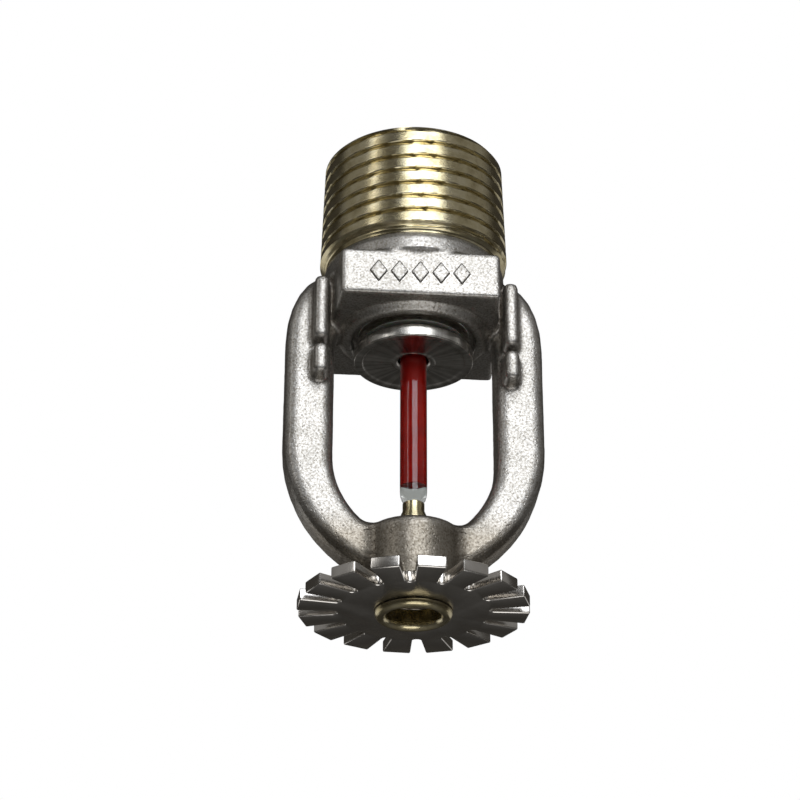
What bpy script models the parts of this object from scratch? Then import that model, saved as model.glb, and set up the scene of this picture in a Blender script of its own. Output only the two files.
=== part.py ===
"""Pendent glass-bulb fire sprinkler head with a half-inch tapered pipe thread.

Metres, +Z up. The origin is the centre of the inlet face, and the head hangs below it.
X runs across the two frame arms, and -Y looks at the front wrench flat.
"""
import math

import bmesh
import bpy
from mathutils import Matrix, Vector

MM = 0.001
PART = "fire_sprinkler_head"

# Pipe thread, half-inch taper, 14 turns an inch
THREAD_PITCH = 25.4 / 14 * MM
THREAD_TAPER = 1 / 32
THREAD_RADIUS = 10.36 * MM
THREAD_DEPTH = 0.65 * MM
THREAD_END = -13.6 * MM
THREAD_CHAMFER = 0.35 * MM
THREAD_RUNOUT = 0.7 * MM
THREAD_SEGMENTS = 40
# One tooth as (share of the pitch, share of the depth): a narrow groove between wide flat crests
THREAD_TOOTH = ((0.0, 0.0), (0.08, 0.0), (0.26, 1.0), (0.82, 1.0), (1.0, 0.0))

# Body, seat and waterway
NECK_TOP_RADIUS = 10.0 * MM
NECK_RADIUS = 10.4 * MM
BODY_RADIUS = 9.4 * MM
FLAT_TOP = -16.4 * MM
FLAT_BOTTOM = -21.95 * MM
FLAT_HALF_WIDTH = 8.8 * MM
BACK_HALF_WIDTH = 10.1 * MM
ACROSS_FLATS = 20.0 * MM
SEAT_RIM_BOTTOM = -22.95 * MM
SEAT_RIM_RADIUS = 8.3 * MM
SEAT_HOLLOW_RADIUS = 7.05 * MM
SEAT_FACE = -22.0 * MM
INLET_RADIUS = 6.9 * MM
ORIFICE_RADIUS = 5.1 * MM

# Yoke arms
ARM_OUTER = 14.5 * MM
ARM_INNER = 9.0 * MM
ARM_HALF_DEPTH = 2.5 * MM
ARM_ROUND = 1.4 * MM
SHOULDER_TOP = -15.4 * MM
SHOULDER_IN = 10.0 * MM
SHOULDER_END = -23.6 * MM
OUTER_BEND_START = -36.5 * MM
OUTER_BEND_RADIUS = 16.6 * MM
INNER_BEND_START = -38.0 * MM
INNER_BEND_RADIUS = 9.9 * MM

# Ribs beside the wrench flats
RIB_INNER = 9.8 * MM
RIB_OUTER = 11.5 * MM
RIB_FRONT = 5.0 * MM
RIB_ROUND = 0.6 * MM
RIB_TOP = -16.9 * MM
RIB_NOTCH_TOP = -24.9 * MM
RIB_NOTCH_BOTTOM = -25.5 * MM
RIB_BOTTOM = -29.2 * MM

# Knuckle, tenon and load screw
KNUCKLE_RADIUS = 5.2 * MM
KNUCKLE_TOP = -46.0 * MM
KNUCKLE_ROUND = 0.8 * MM
WINDOW_FLOOR = -46.3 * MM
KNUCKLE_FOOT_RADIUS = 4.9 * MM
KNUCKLE_FOOT = -53.95 * MM
TENON_RADIUS = 3.75 * MM
TENON_LIP_RADIUS = 4.2 * MM
TENON_END = -56.2 * MM
SCREW_RADIUS = 2.8 * MM
SCREW_BORE_RADIUS = 2.88 * MM
SCREW_END = -52.6 * MM
SCREW_THREAD_TOP = -46.9 * MM
SCREW_COLLAR_RADIUS = 1.5 * MM
SCREW_NOSE_RADIUS = 1.2 * MM
SCREW_TOP = -42.75 * MM
SCREW_HEX = 2.5 * MM
SCREW_HEX_DEPTH = 2.2 * MM

# Deflector
DEFLECTOR_TOP = -54.0 * MM
DEFLECTOR_THICK = 1.35 * MM
DEFLECTOR_RADIUS = 12.4 * MM
TINES = 16
TINE_FIRST = math.radians(4)
SLOT_ROOT = 8.2 * MM
SLOT_ROOT_WIDTH = 1.0 * MM
SLOT_TIP_WIDTH = 2.05 * MM
FIT_GAP = 0.03 * MM

# Bulb
BULB_RADIUS = 1.5 * MM
BULB_WALL = 0.25 * MM
BULB_TOP = -23.75 * MM
BULB_SHOULDER = -41.2 * MM
BULB_FOOT_RADIUS = 1.32 * MM
BULB_FOOT = -43.35 * MM
LIQUID_FOOT = -41.6 * MM

# Valve cap, disc spring and seal films
CAP_RADIUS = 6.75 * MM
CAP_BOTTOM = -25.3 * MM
CAP_RIM_TOP = -23.95 * MM
CAP_HUB_RADIUS = 3.2 * MM
CAP_HUB_TOP = -21.6 * MM
CAP_BORE_RADIUS = 1.62 * MM
CAP_BORE_TOP = -23.5 * MM
SPRING_OUTER = 6.3 * MM
SPRING_INNER = 3.4 * MM
SPRING_THICK = 0.5 * MM
SPRING_RISE = 0.55 * MM
FILM = 0.1 * MM
TOUCH_GAP = 0.03 * MM

ROUND_SEGMENTS = 48

FINISHES = {
    "nickel_casting": ((0.56, 0.53, 0.49), 0.42, 1.0),
    "turned_nickel": ((0.48, 0.47, 0.45), 0.25, 1.0),
    "dark_nickel": ((0.22, 0.21, 0.20), 0.40, 1.0),
    "machined_brass": ((0.66, 0.53, 0.30), 0.30, 1.0),
    "spring_steel": ((0.45, 0.43, 0.40), 0.30, 1.0),
    "ptfe_film": ((0.85, 0.85, 0.82), 0.50, 0.0),
    "clear_glass": ((0.80, 0.84, 0.82), 0.05, 0.0),
    "red_liquid": ((0.55, 0.02, 0.01), 0.10, 0.0),
}


def clear_scene():
    for obj in list(bpy.data.objects):
        bpy.data.objects.remove(obj, do_unlink=True)


def new_collection(name):
    collection = bpy.data.collections.new(name)
    bpy.context.scene.collection.children.link(collection)
    return collection


def finish_material(name):
    material = bpy.data.materials.get(name)
    if material is None:
        colour, roughness, metallic = FINISHES[name]
        material = bpy.data.materials.new(name)
        material.use_nodes = True
        shader = material.node_tree.nodes["Principled BSDF"]
        shader.inputs["Base Color"].default_value = (*colour, 1.0)
        shader.inputs["Roughness"].default_value = roughness
        shader.inputs["Metallic"].default_value = metallic
    return material


def add_mesh(name, bm, collection, finish=None):
    """Turns a bmesh into an object in a collection."""
    mesh = bpy.data.meshes.new(name)
    bm.to_mesh(mesh)
    bm.free()
    obj = bpy.data.objects.new(name, mesh)
    collection.objects.link(obj)
    if finish:
        mesh.materials.append(finish_material(finish))
    return obj


def as_cutter(obj):
    obj.hide_render = True
    obj.display_type = "WIRE"
    return obj


def turned(name, profile, collection, finish=None, segments=ROUND_SEGMENTS):
    """A closed solid turned about Z from (radius, height) points that run down its outer side."""
    bm = bmesh.new()
    points = [bm.verts.new((radius, 0, height)) for radius, height in profile]
    for first, second in zip(points, points[1:]):
        bm.edges.new((first, second))
    if profile[0][0] > 0:
        bm.edges.new((points[-1], points[0]))
    obj = add_mesh(name, bm, collection, finish)
    screw = obj.modifiers.new("turn", "SCREW")
    screw.axis = "Z"
    screw.steps = segments
    screw.render_steps = segments
    screw.use_merge_vertices = True
    screw.merge_threshold = 0.000001
    screw.use_normal_calculate = False
    return obj


def box(name, low, high, collection, finish=None, bevel=0.0):
    """A box between two corners, with rounded edges if asked."""
    low, high = Vector(low), Vector(high)
    bm = bmesh.new()
    bmesh.ops.create_cube(bm, size=1.0)
    bmesh.ops.scale(bm, vec=high - low, verts=bm.verts)
    bmesh.ops.translate(bm, vec=(low + high) / 2, verts=bm.verts)
    obj = add_mesh(name, bm, collection, finish)
    if bevel:
        round_edges(obj, bevel)
    return obj


def round_edges(obj, width, segments=2, angle=math.radians(40)):
    bevel = obj.modifiers.new("round", "BEVEL")
    bevel.width = width
    bevel.segments = segments
    bevel.limit_method = "ANGLE"
    bevel.angle_limit = angle


def combine(obj, other, operation):
    boolean = obj.modifiers.new(operation.lower(), "BOOLEAN")
    boolean.operation = operation
    boolean.solver = "EXACT"
    boolean.object = other


def smooth_shaded(obj, angle=math.radians(35)):
    obj.data.shade_smooth()
    obj.data.set_sharp_from_angle(angle=angle)


def thread_solid(name, collection, segments=THREAD_SEGMENTS):
    """A helical tapered thread, one strip of tooth a turn, closed by a ramp at each end."""
    turns = int(-THREAD_END / THREAD_PITCH) + 4
    start = THREAD_END - 2 * THREAD_PITCH
    bm = bmesh.new()
    columns = []
    for step in range(turns * segments + 1):
        angle = 2 * math.pi * step / segments
        base = start + THREAD_PITCH * step / segments
        column = []
        for along, rise in THREAD_TOOTH:
            height = base + along * THREAD_PITCH
            radius = THREAD_RADIUS - THREAD_TAPER * height - THREAD_DEPTH * (1 - rise)
            column.append(bm.verts.new((radius * math.cos(angle), radius * math.sin(angle), height)))
        columns.append(column)
    for left, right in zip(columns, columns[1:]):
        for low in range(len(THREAD_TOOTH) - 1):
            bm.faces.new((left[low], right[low], right[low + 1], left[low + 1]))
    bottom = bm.verts.new((0, 0, start))
    top = bm.verts.new((0, 0, start + THREAD_PITCH * (turns + 1)))
    for step in range(segments):
        bm.faces.new((bottom, columns[step + 1][0], columns[step][0]))
        last = turns * segments - segments + step
        bm.faces.new((top, columns[last][-1], columns[last + 1][-1]))
    for low in range(len(THREAD_TOOTH) - 1):
        bm.faces.new((bottom, columns[0][low], columns[0][low + 1]))
        bm.faces.new((top, columns[-1][low + 1], columns[-1][low]))
    bmesh.ops.remove_doubles(bm, verts=bm.verts, dist=1e-7)
    return add_mesh(name, bm, collection)


def arc(centre, radius, start, end, count):
    """Points on an arc in the XZ plane, from one angle to another."""
    return [
        (centre[0] + radius * math.cos(start + (end - start) * i / count),
         centre[1] + radius * math.sin(start + (end - start) * i / count))
        for i in range(count + 1)
    ]


def yoke_outline():
    """The right half of one closed yoke, from the neck down to the foot and back up inside."""
    corner = ARM_OUTER - SHOULDER_IN
    drop = SHOULDER_TOP - SHOULDER_END
    outline = [(0.0, SHOULDER_TOP), (SHOULDER_IN, SHOULDER_TOP)]
    outline += [
        (SHOULDER_IN + corner * math.sin(turn), SHOULDER_END + drop * math.cos(turn))
        for turn in (math.radians(15 * i) for i in range(1, 7))
    ]
    centre = (ARM_OUTER - OUTER_BEND_RADIUS, OUTER_BEND_START)
    foot_turn = -math.acos((KNUCKLE_FOOT_RADIUS - centre[0]) / OUTER_BEND_RADIUS)
    outline += arc(centre, OUTER_BEND_RADIUS, 0.0, foot_turn, 10)
    outline += [(0.0, outline[-1][1] - 0.6 * MM)]
    return outline


def window_outline():
    """The right half of the window between the arms."""
    centre = (ARM_INNER - INNER_BEND_RADIUS, INNER_BEND_START)
    foot_turn = -math.asin((INNER_BEND_START - WINDOW_FLOOR) / INNER_BEND_RADIUS)
    outline = [(0.0, FLAT_BOTTOM), (ARM_INNER, FLAT_BOTTOM)]
    outline += arc(centre, INNER_BEND_RADIUS, 0.0, foot_turn, 9)
    outline += [(0.0, outline[-1][1])]
    return outline


def slab(name, half_outline, half_depth, collection):
    """A flat solid across Y from the right half of its XZ outline."""
    right = [point for point in half_outline if point[0] > 0]
    ends = [point for point in half_outline if point[0] == 0]
    loop = [ends[0], *right, ends[-1], *[(-x, z) for x, z in reversed(right)]]
    bm = bmesh.new()
    front = bm.faces.new([bm.verts.new((x, -half_depth, z)) for x, z in loop])
    bmesh.ops.recalc_face_normals(bm, faces=[front])
    made = bmesh.ops.extrude_face_region(bm, geom=[front])["geom"]
    moved = [item for item in made if isinstance(item, bmesh.types.BMVert)]
    bmesh.ops.translate(bm, vec=(0, 2 * half_depth, 0), verts=moved)
    bmesh.ops.recalc_face_normals(bm, faces=bm.faces)
    return add_mesh(name, bm, collection)


def wrench_block(collection):
    """The block between the two wrench flats, which draws in towards the front."""
    bm = bmesh.new()
    bmesh.ops.create_cube(bm, size=1.0)
    for vert in bm.verts:
        half_width = FLAT_HALF_WIDTH if vert.co.y < 0 else BACK_HALF_WIDTH
        height = FLAT_TOP if vert.co.z > 0 else FLAT_BOTTOM
        vert.co = (2 * half_width * vert.co.x, ACROSS_FLATS * vert.co.y, height)
    block = add_mesh("wrench_block", bm, collection)
    round_edges(block, 0.3 * MM)
    return block


def build_frame(parts, cutters):
    """The one-piece cast and machined frame."""
    thread_top = THREAD_RADIUS - THREAD_CHAMFER
    frame = turned("frame", [
        (0.0, THREAD_END + 0.4 * MM), (NECK_TOP_RADIUS - 0.7 * MM, THREAD_END + 0.4 * MM),
        (NECK_TOP_RADIUS, THREAD_END - 0.3 * MM), (NECK_RADIUS - 0.1 * MM, THREAD_END - 1.1 * MM),
        (NECK_RADIUS, FLAT_TOP + 0.2 * MM),
        (BODY_RADIUS, FLAT_TOP - 0.6 * MM), (BODY_RADIUS, FLAT_BOTTOM + 0.1 * MM),
        (SEAT_RIM_RADIUS + 0.5 * MM, FLAT_BOTTOM), (SEAT_RIM_RADIUS, SEAT_RIM_BOTTOM + 0.5 * MM),
        (SEAT_RIM_RADIUS - 0.25 * MM, SEAT_RIM_BOTTOM + 0.1 * MM),
        (SEAT_RIM_RADIUS - 0.65 * MM, SEAT_RIM_BOTTOM), (0.0, SEAT_RIM_BOTTOM),
    ], parts, "nickel_casting")

    thread = as_cutter(thread_solid("thread_helix", cutters))
    envelope = as_cutter(turned("thread_envelope", [
        (0.0, 0.0), (thread_top, 0.0), (THREAD_RADIUS + 0.1 * MM, -THREAD_CHAMFER),
        (THREAD_RADIUS - THREAD_TAPER * THREAD_END + 0.1 * MM, THREAD_END + THREAD_RUNOUT),
        (NECK_TOP_RADIUS + 0.1 * MM, THREAD_END), (0.0, THREAD_END),
    ], cutters))
    combine(thread, envelope, "INTERSECT")

    flats = as_cutter(wrench_block(cutters))

    yoke = as_cutter(slab("yoke_slab", yoke_outline(), ARM_HALF_DEPTH, cutters))
    window = as_cutter(slab("yoke_window", window_outline(), 4 * ARM_HALF_DEPTH, cutters))
    combine(yoke, window, "DIFFERENCE")
    round_edges(yoke, ARM_ROUND, segments=3, angle=math.radians(50))

    combine(frame, thread, "UNION")
    combine(frame, flats, "UNION")
    combine(frame, yoke, "UNION")
    for side in (-1, 1):
        for face in (-1, 1):
            for part, (low, high) in enumerate((
                    (RIB_NOTCH_TOP, RIB_TOP), (RIB_BOTTOM, RIB_NOTCH_BOTTOM))):
                across = sorted((side * RIB_INNER, side * RIB_OUTER))
                through = sorted((face * RIB_FRONT, face * (ARM_HALF_DEPTH - 0.8 * MM)))
                rib = box(f"rib_{side}_{face}_{part}", (across[0], through[0], low),
                          (across[1], through[1], high), cutters, bevel=RIB_ROUND)
                combine(frame, as_cutter(rib), "UNION")

    knuckle = as_cutter(turned("knuckle", [
        (0.0, KNUCKLE_TOP), *[
            (KNUCKLE_RADIUS - KNUCKLE_ROUND * (1 - math.sin(turn)),
             KNUCKLE_TOP - KNUCKLE_ROUND * (1 - math.cos(turn)))
            for turn in (math.radians(22.5 * i) for i in range(5))],
        (KNUCKLE_RADIUS, KNUCKLE_TOP - 5.0 * MM), (KNUCKLE_FOOT_RADIUS, KNUCKLE_FOOT),
        (TENON_RADIUS, KNUCKLE_FOOT), (TENON_RADIUS, DEFLECTOR_TOP - DEFLECTOR_THICK - 0.04 * MM),
        (TENON_LIP_RADIUS, DEFLECTOR_TOP - DEFLECTOR_THICK - 0.04 * MM),
        (TENON_LIP_RADIUS - 0.1 * MM, TENON_END + 0.25 * MM),
        (TENON_LIP_RADIUS - 0.5 * MM, TENON_END), (0.0, TENON_END),
    ], cutters))
    combine(frame, knuckle, "UNION")

    waterway = as_cutter(turned("waterway", [
        (0.0, 1.0 * MM), (INLET_RADIUS + 0.5 * MM, 1.0 * MM), (INLET_RADIUS + 0.5 * MM, 0.0),
        (INLET_RADIUS, -0.5 * MM), (INLET_RADIUS, -15.0 * MM), (ORIFICE_RADIUS, -19.0 * MM),
        (ORIFICE_RADIUS, SEAT_FACE), (SEAT_HOLLOW_RADIUS, SEAT_FACE),
        (SEAT_HOLLOW_RADIUS, SEAT_RIM_BOTTOM - 1.0 * MM), (0.0, SEAT_RIM_BOTTOM - 1.0 * MM),
    ], cutters))
    combine(frame, waterway, "DIFFERENCE")
    screw_bore = as_cutter(turned("screw_bore", [
        (0.0, KNUCKLE_TOP + 1.0 * MM), (SCREW_BORE_RADIUS, KNUCKLE_TOP + 1.0 * MM),
        (SCREW_BORE_RADIUS, TENON_END + 0.2 * MM), (SCREW_BORE_RADIUS + 0.2 * MM, TENON_END),
        (SCREW_BORE_RADIUS + 0.2 * MM, TENON_END - 1.0 * MM), (0.0, TENON_END - 1.0 * MM),
    ], cutters))
    combine(frame, screw_bore, "DIFFERENCE")
    smooth_shaded(frame)
    return frame


def build_deflector(parts, cutters):
    """The slotted disc staked on the end of the frame."""
    half_tine = math.pi / TINES
    bm = bmesh.new()
    bmesh.ops.create_cone(
        bm, cap_ends=True, segments=TINES, depth=DEFLECTOR_THICK,
        radius1=DEFLECTOR_RADIUS / math.cos(half_tine), radius2=DEFLECTOR_RADIUS / math.cos(half_tine))
    # A primitive's flats face half a step round from its corners
    bmesh.ops.rotate(bm, cent=(0, 0, 0), verts=bm.verts,
                     matrix=Matrix.Rotation(TINE_FIRST + half_tine, 3, "Z"))
    bmesh.ops.translate(bm, vec=(0, 0, DEFLECTOR_TOP - DEFLECTOR_THICK / 2), verts=bm.verts)
    deflector = add_mesh("deflector", bm, parts, "dark_nickel")

    for number in range(TINES):
        angle = TINE_FIRST + half_tine * (2 * number + 1)
        root_round = SLOT_ROOT_WIDTH / 2
        outline = arc((SLOT_ROOT + root_round, 0.0), root_round, math.radians(90), math.radians(270), 4)
        reach = DEFLECTOR_RADIUS + 1.0 * MM
        outline += [(reach, -SLOT_TIP_WIDTH / 2), (reach, SLOT_TIP_WIDTH / 2)]
        bm = bmesh.new()
        low = DEFLECTOR_TOP - DEFLECTOR_THICK - 0.5 * MM
        floor = bm.faces.new([bm.verts.new((x, y, low)) for x, y in outline])
        made = bmesh.ops.extrude_face_region(bm, geom=[floor])["geom"]
        moved = [item for item in made if isinstance(item, bmesh.types.BMVert)]
        bmesh.ops.translate(bm, vec=(0, 0, DEFLECTOR_THICK + 1.0 * MM), verts=moved)
        bmesh.ops.rotate(bm, cent=(0, 0, 0), matrix=Matrix.Rotation(angle, 3, "Z"), verts=bm.verts)
        bmesh.ops.recalc_face_normals(bm, faces=bm.faces)
        combine(deflector, as_cutter(add_mesh(f"slot_{number:02d}", bm, cutters)), "DIFFERENCE")

    hole = as_cutter(turned("deflector_hole", [
        (0.0, DEFLECTOR_TOP + 1.0 * MM), (TENON_RADIUS + FIT_GAP, DEFLECTOR_TOP + 1.0 * MM),
        (TENON_RADIUS + FIT_GAP, DEFLECTOR_TOP - DEFLECTOR_THICK - 1.0 * MM),
        (0.0, DEFLECTOR_TOP - DEFLECTOR_THICK - 1.0 * MM),
    ], cutters))
    combine(deflector, hole, "DIFFERENCE")
    return deflector


def build_load_screw(parts, cutters):
    """The screw that squeezes the bulb against the cap, with a hexagon socket below."""
    screw = turned("load_screw", [
        (0.0, SCREW_TOP - 0.8 * MM), (0.6 * MM, SCREW_TOP - 0.8 * MM),
        (1.05 * MM, SCREW_TOP), (SCREW_NOSE_RADIUS, SCREW_TOP),
        (SCREW_NOSE_RADIUS, SCREW_TOP - 0.9 * MM), (SCREW_COLLAR_RADIUS, SCREW_TOP - 1.6 * MM),
        (SCREW_COLLAR_RADIUS + 0.3 * MM, SCREW_THREAD_TOP + 0.3 * MM),
        (SCREW_RADIUS - 0.5 * MM, SCREW_THREAD_TOP), (SCREW_RADIUS, SCREW_THREAD_TOP - 0.5 * MM),
        (SCREW_RADIUS, SCREW_END + 0.4 * MM), (SCREW_RADIUS - 0.4 * MM, SCREW_END), (0.0, SCREW_END),
    ], parts, "machined_brass", segments=32)
    bm = bmesh.new()
    bmesh.ops.create_cone(bm, cap_ends=True, segments=6, depth=2 * SCREW_HEX_DEPTH,
                          radius1=SCREW_HEX / math.sqrt(3), radius2=SCREW_HEX / math.sqrt(3))
    bmesh.ops.translate(bm, vec=(0, 0, SCREW_END), verts=bm.verts)
    combine(screw, as_cutter(add_mesh("hex_socket", bm, cutters)), "DIFFERENCE")
    smooth_shaded(screw)
    return screw


def dome(radius, top, steps=6):
    """Outer points of a half-round end, from the pole down to its widest ring."""
    return [
        (radius * math.sin(turn), top - radius + radius * math.cos(turn))
        for turn in (math.pi / 2 * i / steps for i in range(steps + 1))
    ]


def build_bulb(parts):
    """A glass bulb open at its fill tip, and the liquid column inside it."""
    inner = BULB_RADIUS - BULB_WALL
    outside = dome(BULB_RADIUS, BULB_TOP) + [
        (BULB_RADIUS, BULB_SHOULDER), (BULB_RADIUS - 0.06 * MM, BULB_SHOULDER - 0.7 * MM),
        (BULB_FOOT_RADIUS, BULB_FOOT + 1.1 * MM), (0.9 * MM, BULB_FOOT + 0.55 * MM),
        (0.5 * MM, BULB_FOOT + 0.1 * MM), (0.3 * MM, BULB_FOOT),
    ]
    inside = [(0.12 * MM, BULB_FOOT), (0.12 * MM, BULB_FOOT + 0.5 * MM),
              (inner, BULB_SHOULDER - 0.5 * MM)]
    inside += list(reversed(dome(inner, BULB_TOP - BULB_WALL)))
    # The last inner point is on the axis, so the profile opens there and closes at the tip
    glass = turned("bulb_glass", outside + inside, parts, "clear_glass", segments=32)
    smooth_shaded(glass)

    gap = TOUCH_GAP
    liquid = turned("bulb_liquid", dome(inner - gap, BULB_TOP - BULB_WALL - gap) + [
        (inner - gap, LIQUID_FOOT), (0.0, LIQUID_FOOT)], parts, "red_liquid", segments=32)
    smooth_shaded(liquid)


def build_cap(parts):
    """The turned cup that holds the bulb and pushes the disc spring onto the seat."""
    spring_plane = SEAT_FACE - FILM - 2 * TOUCH_GAP - SPRING_THICK
    ledge = spring_plane - SPRING_RISE - FILM - 2 * TOUCH_GAP
    profile = [
        (0.0, CAP_HUB_TOP), (CAP_HUB_RADIUS - 0.3 * MM, CAP_HUB_TOP),
        (CAP_HUB_RADIUS, CAP_HUB_TOP - 0.3 * MM), (CAP_HUB_RADIUS, ledge),
        (SPRING_OUTER - 0.4 * MM, ledge), (SPRING_OUTER - 0.2 * MM, CAP_RIM_TOP),
        (CAP_RADIUS - 0.15 * MM, CAP_RIM_TOP), (CAP_RADIUS, CAP_RIM_TOP - 0.15 * MM),
        (CAP_RADIUS, CAP_BOTTOM + 0.2 * MM), (CAP_RADIUS - 0.2 * MM, CAP_BOTTOM),
        (CAP_BORE_RADIUS + 0.35 * MM, CAP_BOTTOM), (CAP_BORE_RADIUS, CAP_BOTTOM + 0.35 * MM),
        (CAP_BORE_RADIUS, CAP_BORE_TOP), (0.0, CAP_BORE_TOP),
    ]
    cap = turned("bulb_cap", profile, parts, "turned_nickel")
    smooth_shaded(cap)


def coned_ring(name, inner, outer, outer_low, thick, rise, parts, finish):
    """A flat-sided ring whose inner edge sits lower than its outer edge."""
    ring = turned(name, [
        (outer, outer_low + thick), (outer, outer_low),
        (inner, outer_low - rise), (inner, outer_low + thick - rise),
    ], parts, finish)
    smooth_shaded(ring)


def build_seal(parts):
    """The disc spring with a slippery film on each side."""
    film_low = SEAT_FACE - TOUCH_GAP - FILM
    spring_low = film_low - TOUCH_GAP - SPRING_THICK
    coned_ring("seal_film_upper", SPRING_INNER, SPRING_OUTER, film_low, FILM, SPRING_RISE,
               parts, "ptfe_film")
    coned_ring("disc_spring", SPRING_INNER, SPRING_OUTER, spring_low, SPRING_THICK, SPRING_RISE,
               parts, "spring_steel")
    coned_ring("seal_film_lower", SPRING_INNER, SPRING_OUTER - 0.5 * MM,
               spring_low - TOUCH_GAP - FILM - 0.5 / 2.9 * SPRING_RISE, FILM,
               2.4 / 2.9 * SPRING_RISE, parts, "ptfe_film")


def main():
    clear_scene()
    parts = new_collection(PART)
    cutters = new_collection(PART + "_cutters")
    build_frame(parts, cutters)
    build_deflector(parts, cutters)
    build_load_screw(parts, cutters)
    build_bulb(parts)
    build_cap(parts)
    build_seal(parts)


main()
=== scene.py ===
"""Looks of a pendent glass-bulb fire sprinkler head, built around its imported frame."""

import math

import bmesh
import bpy
from mathutils import Matrix, Vector, noise


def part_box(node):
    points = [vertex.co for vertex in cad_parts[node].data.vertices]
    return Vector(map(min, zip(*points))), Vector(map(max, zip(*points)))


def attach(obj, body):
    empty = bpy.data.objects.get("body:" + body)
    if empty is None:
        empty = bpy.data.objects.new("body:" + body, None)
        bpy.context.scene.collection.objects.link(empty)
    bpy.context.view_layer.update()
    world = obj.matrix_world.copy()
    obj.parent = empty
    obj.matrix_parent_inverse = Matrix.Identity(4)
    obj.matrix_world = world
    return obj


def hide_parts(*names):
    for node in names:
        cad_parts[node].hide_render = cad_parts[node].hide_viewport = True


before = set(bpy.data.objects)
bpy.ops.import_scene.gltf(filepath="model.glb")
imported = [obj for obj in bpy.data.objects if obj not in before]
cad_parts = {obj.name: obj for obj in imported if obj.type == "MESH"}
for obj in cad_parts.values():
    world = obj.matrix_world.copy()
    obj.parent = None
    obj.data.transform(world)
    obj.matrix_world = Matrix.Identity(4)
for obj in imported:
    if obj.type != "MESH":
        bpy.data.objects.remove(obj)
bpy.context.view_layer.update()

MM = 0.001
FRAME_LOW, FRAME_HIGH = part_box("frame")
DEFLECTOR_LOW, DEFLECTOR_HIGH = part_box("deflector")
CAP_LOW, CAP_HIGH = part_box("bulb_cap")
BULB_LOW, BULB_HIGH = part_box("bulb_glass")
LIQUID_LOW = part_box("bulb_liquid")[0]
SCREW_LOW, SCREW_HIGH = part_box("load_screw")

INLET = FRAME_HIGH.z
THREAD_PITCH = 25.4 / 14 * MM
THREAD_TAPER = 1 / 32
THREAD_RADIUS = 10.36 * MM
THREAD_DEPTH = 0.62 * MM
THREAD_LENGTH = 13.6 * MM
THREAD_LOW = INLET - THREAD_LENGTH
THREAD_CREST = 0.64
THREAD_ROOT = 0.94
THREAD_CHAMFER = 0.35 * MM
THREAD_RUNOUT = 0.7 * MM
INLET_BORE = 6.9 * MM
NECK_TOP_RADIUS = 10.0 * MM
NECK_LIP = THREAD_LOW - 0.3 * MM

DEFLECTOR_THICK = DEFLECTOR_HIGH.z - DEFLECTOR_LOW.z
DEFLECTOR_FLAT = 12.4 * MM
TINES = 16
TINE_FIRST = math.radians(4)
SLOT_ROOT = 8.2 * MM
SLOT_ROOT_WIDTH = 1.0 * MM
SLOT_TIP_WIDTH = 2.05 * MM
TENON_RADIUS = 3.75 * MM
LIP_RADIUS = 4.2 * MM
SCREW_BORE = 2.88 * MM
SCREW_PITCH = 25.4 / 28 * MM

WRENCH_FLAT = -10.0 * MM
FLAT_CENTRE = -19.175 * MM

CAST_VOXEL = 0.22
CAST_SMOOTHING = 5
CAST_GRAIN = 0.014
CAST_SWELL = 0.02
KNUCKLE_FILLET = 1.5
KNUCKLE_ZONE = (-30.5, -45.0)

# Turned surfaces of the casting, as (height, radius) points in millimetres
NECK_SIDE = ((-13.9, 10.0), (-14.7, 10.3), (-16.2, 10.4))
KNUCKLE_SIDE = ((-46.8, 5.2), (-51.0, 5.2), (-53.9, 4.9))
SEAT_SIDE = ((-22.0, 8.75), (-22.45, 8.3))

MARK_COUNT = 5
MARK_STEP = 2.3 * MM
MARK_HEIGHT = 0.28 * MM

BULB_WALL = 0.08 * MM
BULB_SHOULDER = 2.15 * MM
LIQUID_SURFACE = LIQUID_LOW.z + 0.9 * MM

# Where the lower film rests on the cap, and the cap's turned steps
CAP_LEDGE = -23.37 * MM
CAP_RIM = 1.35 * MM
CAP_SOCKET = 1.62 * MM

SCREW_SHANK_TOP = -46.9 * MM
SCREW_HEX = 2.5 * MM

# Heights in millimetres between which the casting's colour turns darker towards the foot
DARKER_FOOT = (-47.5, -44.5)

FLOOR_LEVEL = -0.6
STUDIO_MIDDLE = (0, 0, -0.03)
# Name, place and size in metres, power in watts and tint of each soft box
STUDIO_LIGHTS = (
    ("front_box", (0.065, -0.52, 0.235), (0.42, 0.42), 2.6, "#F5F9FF"),
    ("left_strip", (-0.5, -0.36, 0.25), (0.09, 0.4), 0.3, "#FFFFFF"),
    ("low_box", (0.05, -0.25, -0.45), (0.4, 0.3), 0.6, "#FFFFFF"),
    ("left_fill", (-0.67, -0.24, 0.33), (0.9, 0.7), 0.38, "#FFFFFF"),
    ("right_fill", (0.67, -0.24, 0.33), (0.9, 0.7), 0.38, "#FFFFFF"),
    ("back_left_box", (-0.4, 0.4, -0.15), (0.35, 0.3), 0.24, "#FFFFFF"),
    ("back_right_box", (0.4, 0.4, -0.15), (0.35, 0.3), 0.16, "#FFFFFF"),
)

CAMERA_TURN = math.radians(-4.92)
CAMERA_RISE = math.radians(-27.25)
CAMERA_DISTANCE = 250 * MM
CAMERA_TARGET = Vector((0, 0, -29.9 * MM))
CAMERA_LENS = 100.485
CAMERA_SHIFT = -0.016875


def linear(code):
    """An sRGB hex colour as linear RGBA."""
    channels = [int(code[i:i + 2], 16) / 255 for i in (1, 3, 5)]
    return (*[c / 12.92 if c <= 0.04045 else ((c + 0.055) / 1.055) ** 2.4 for c in channels], 1.0)


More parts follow.
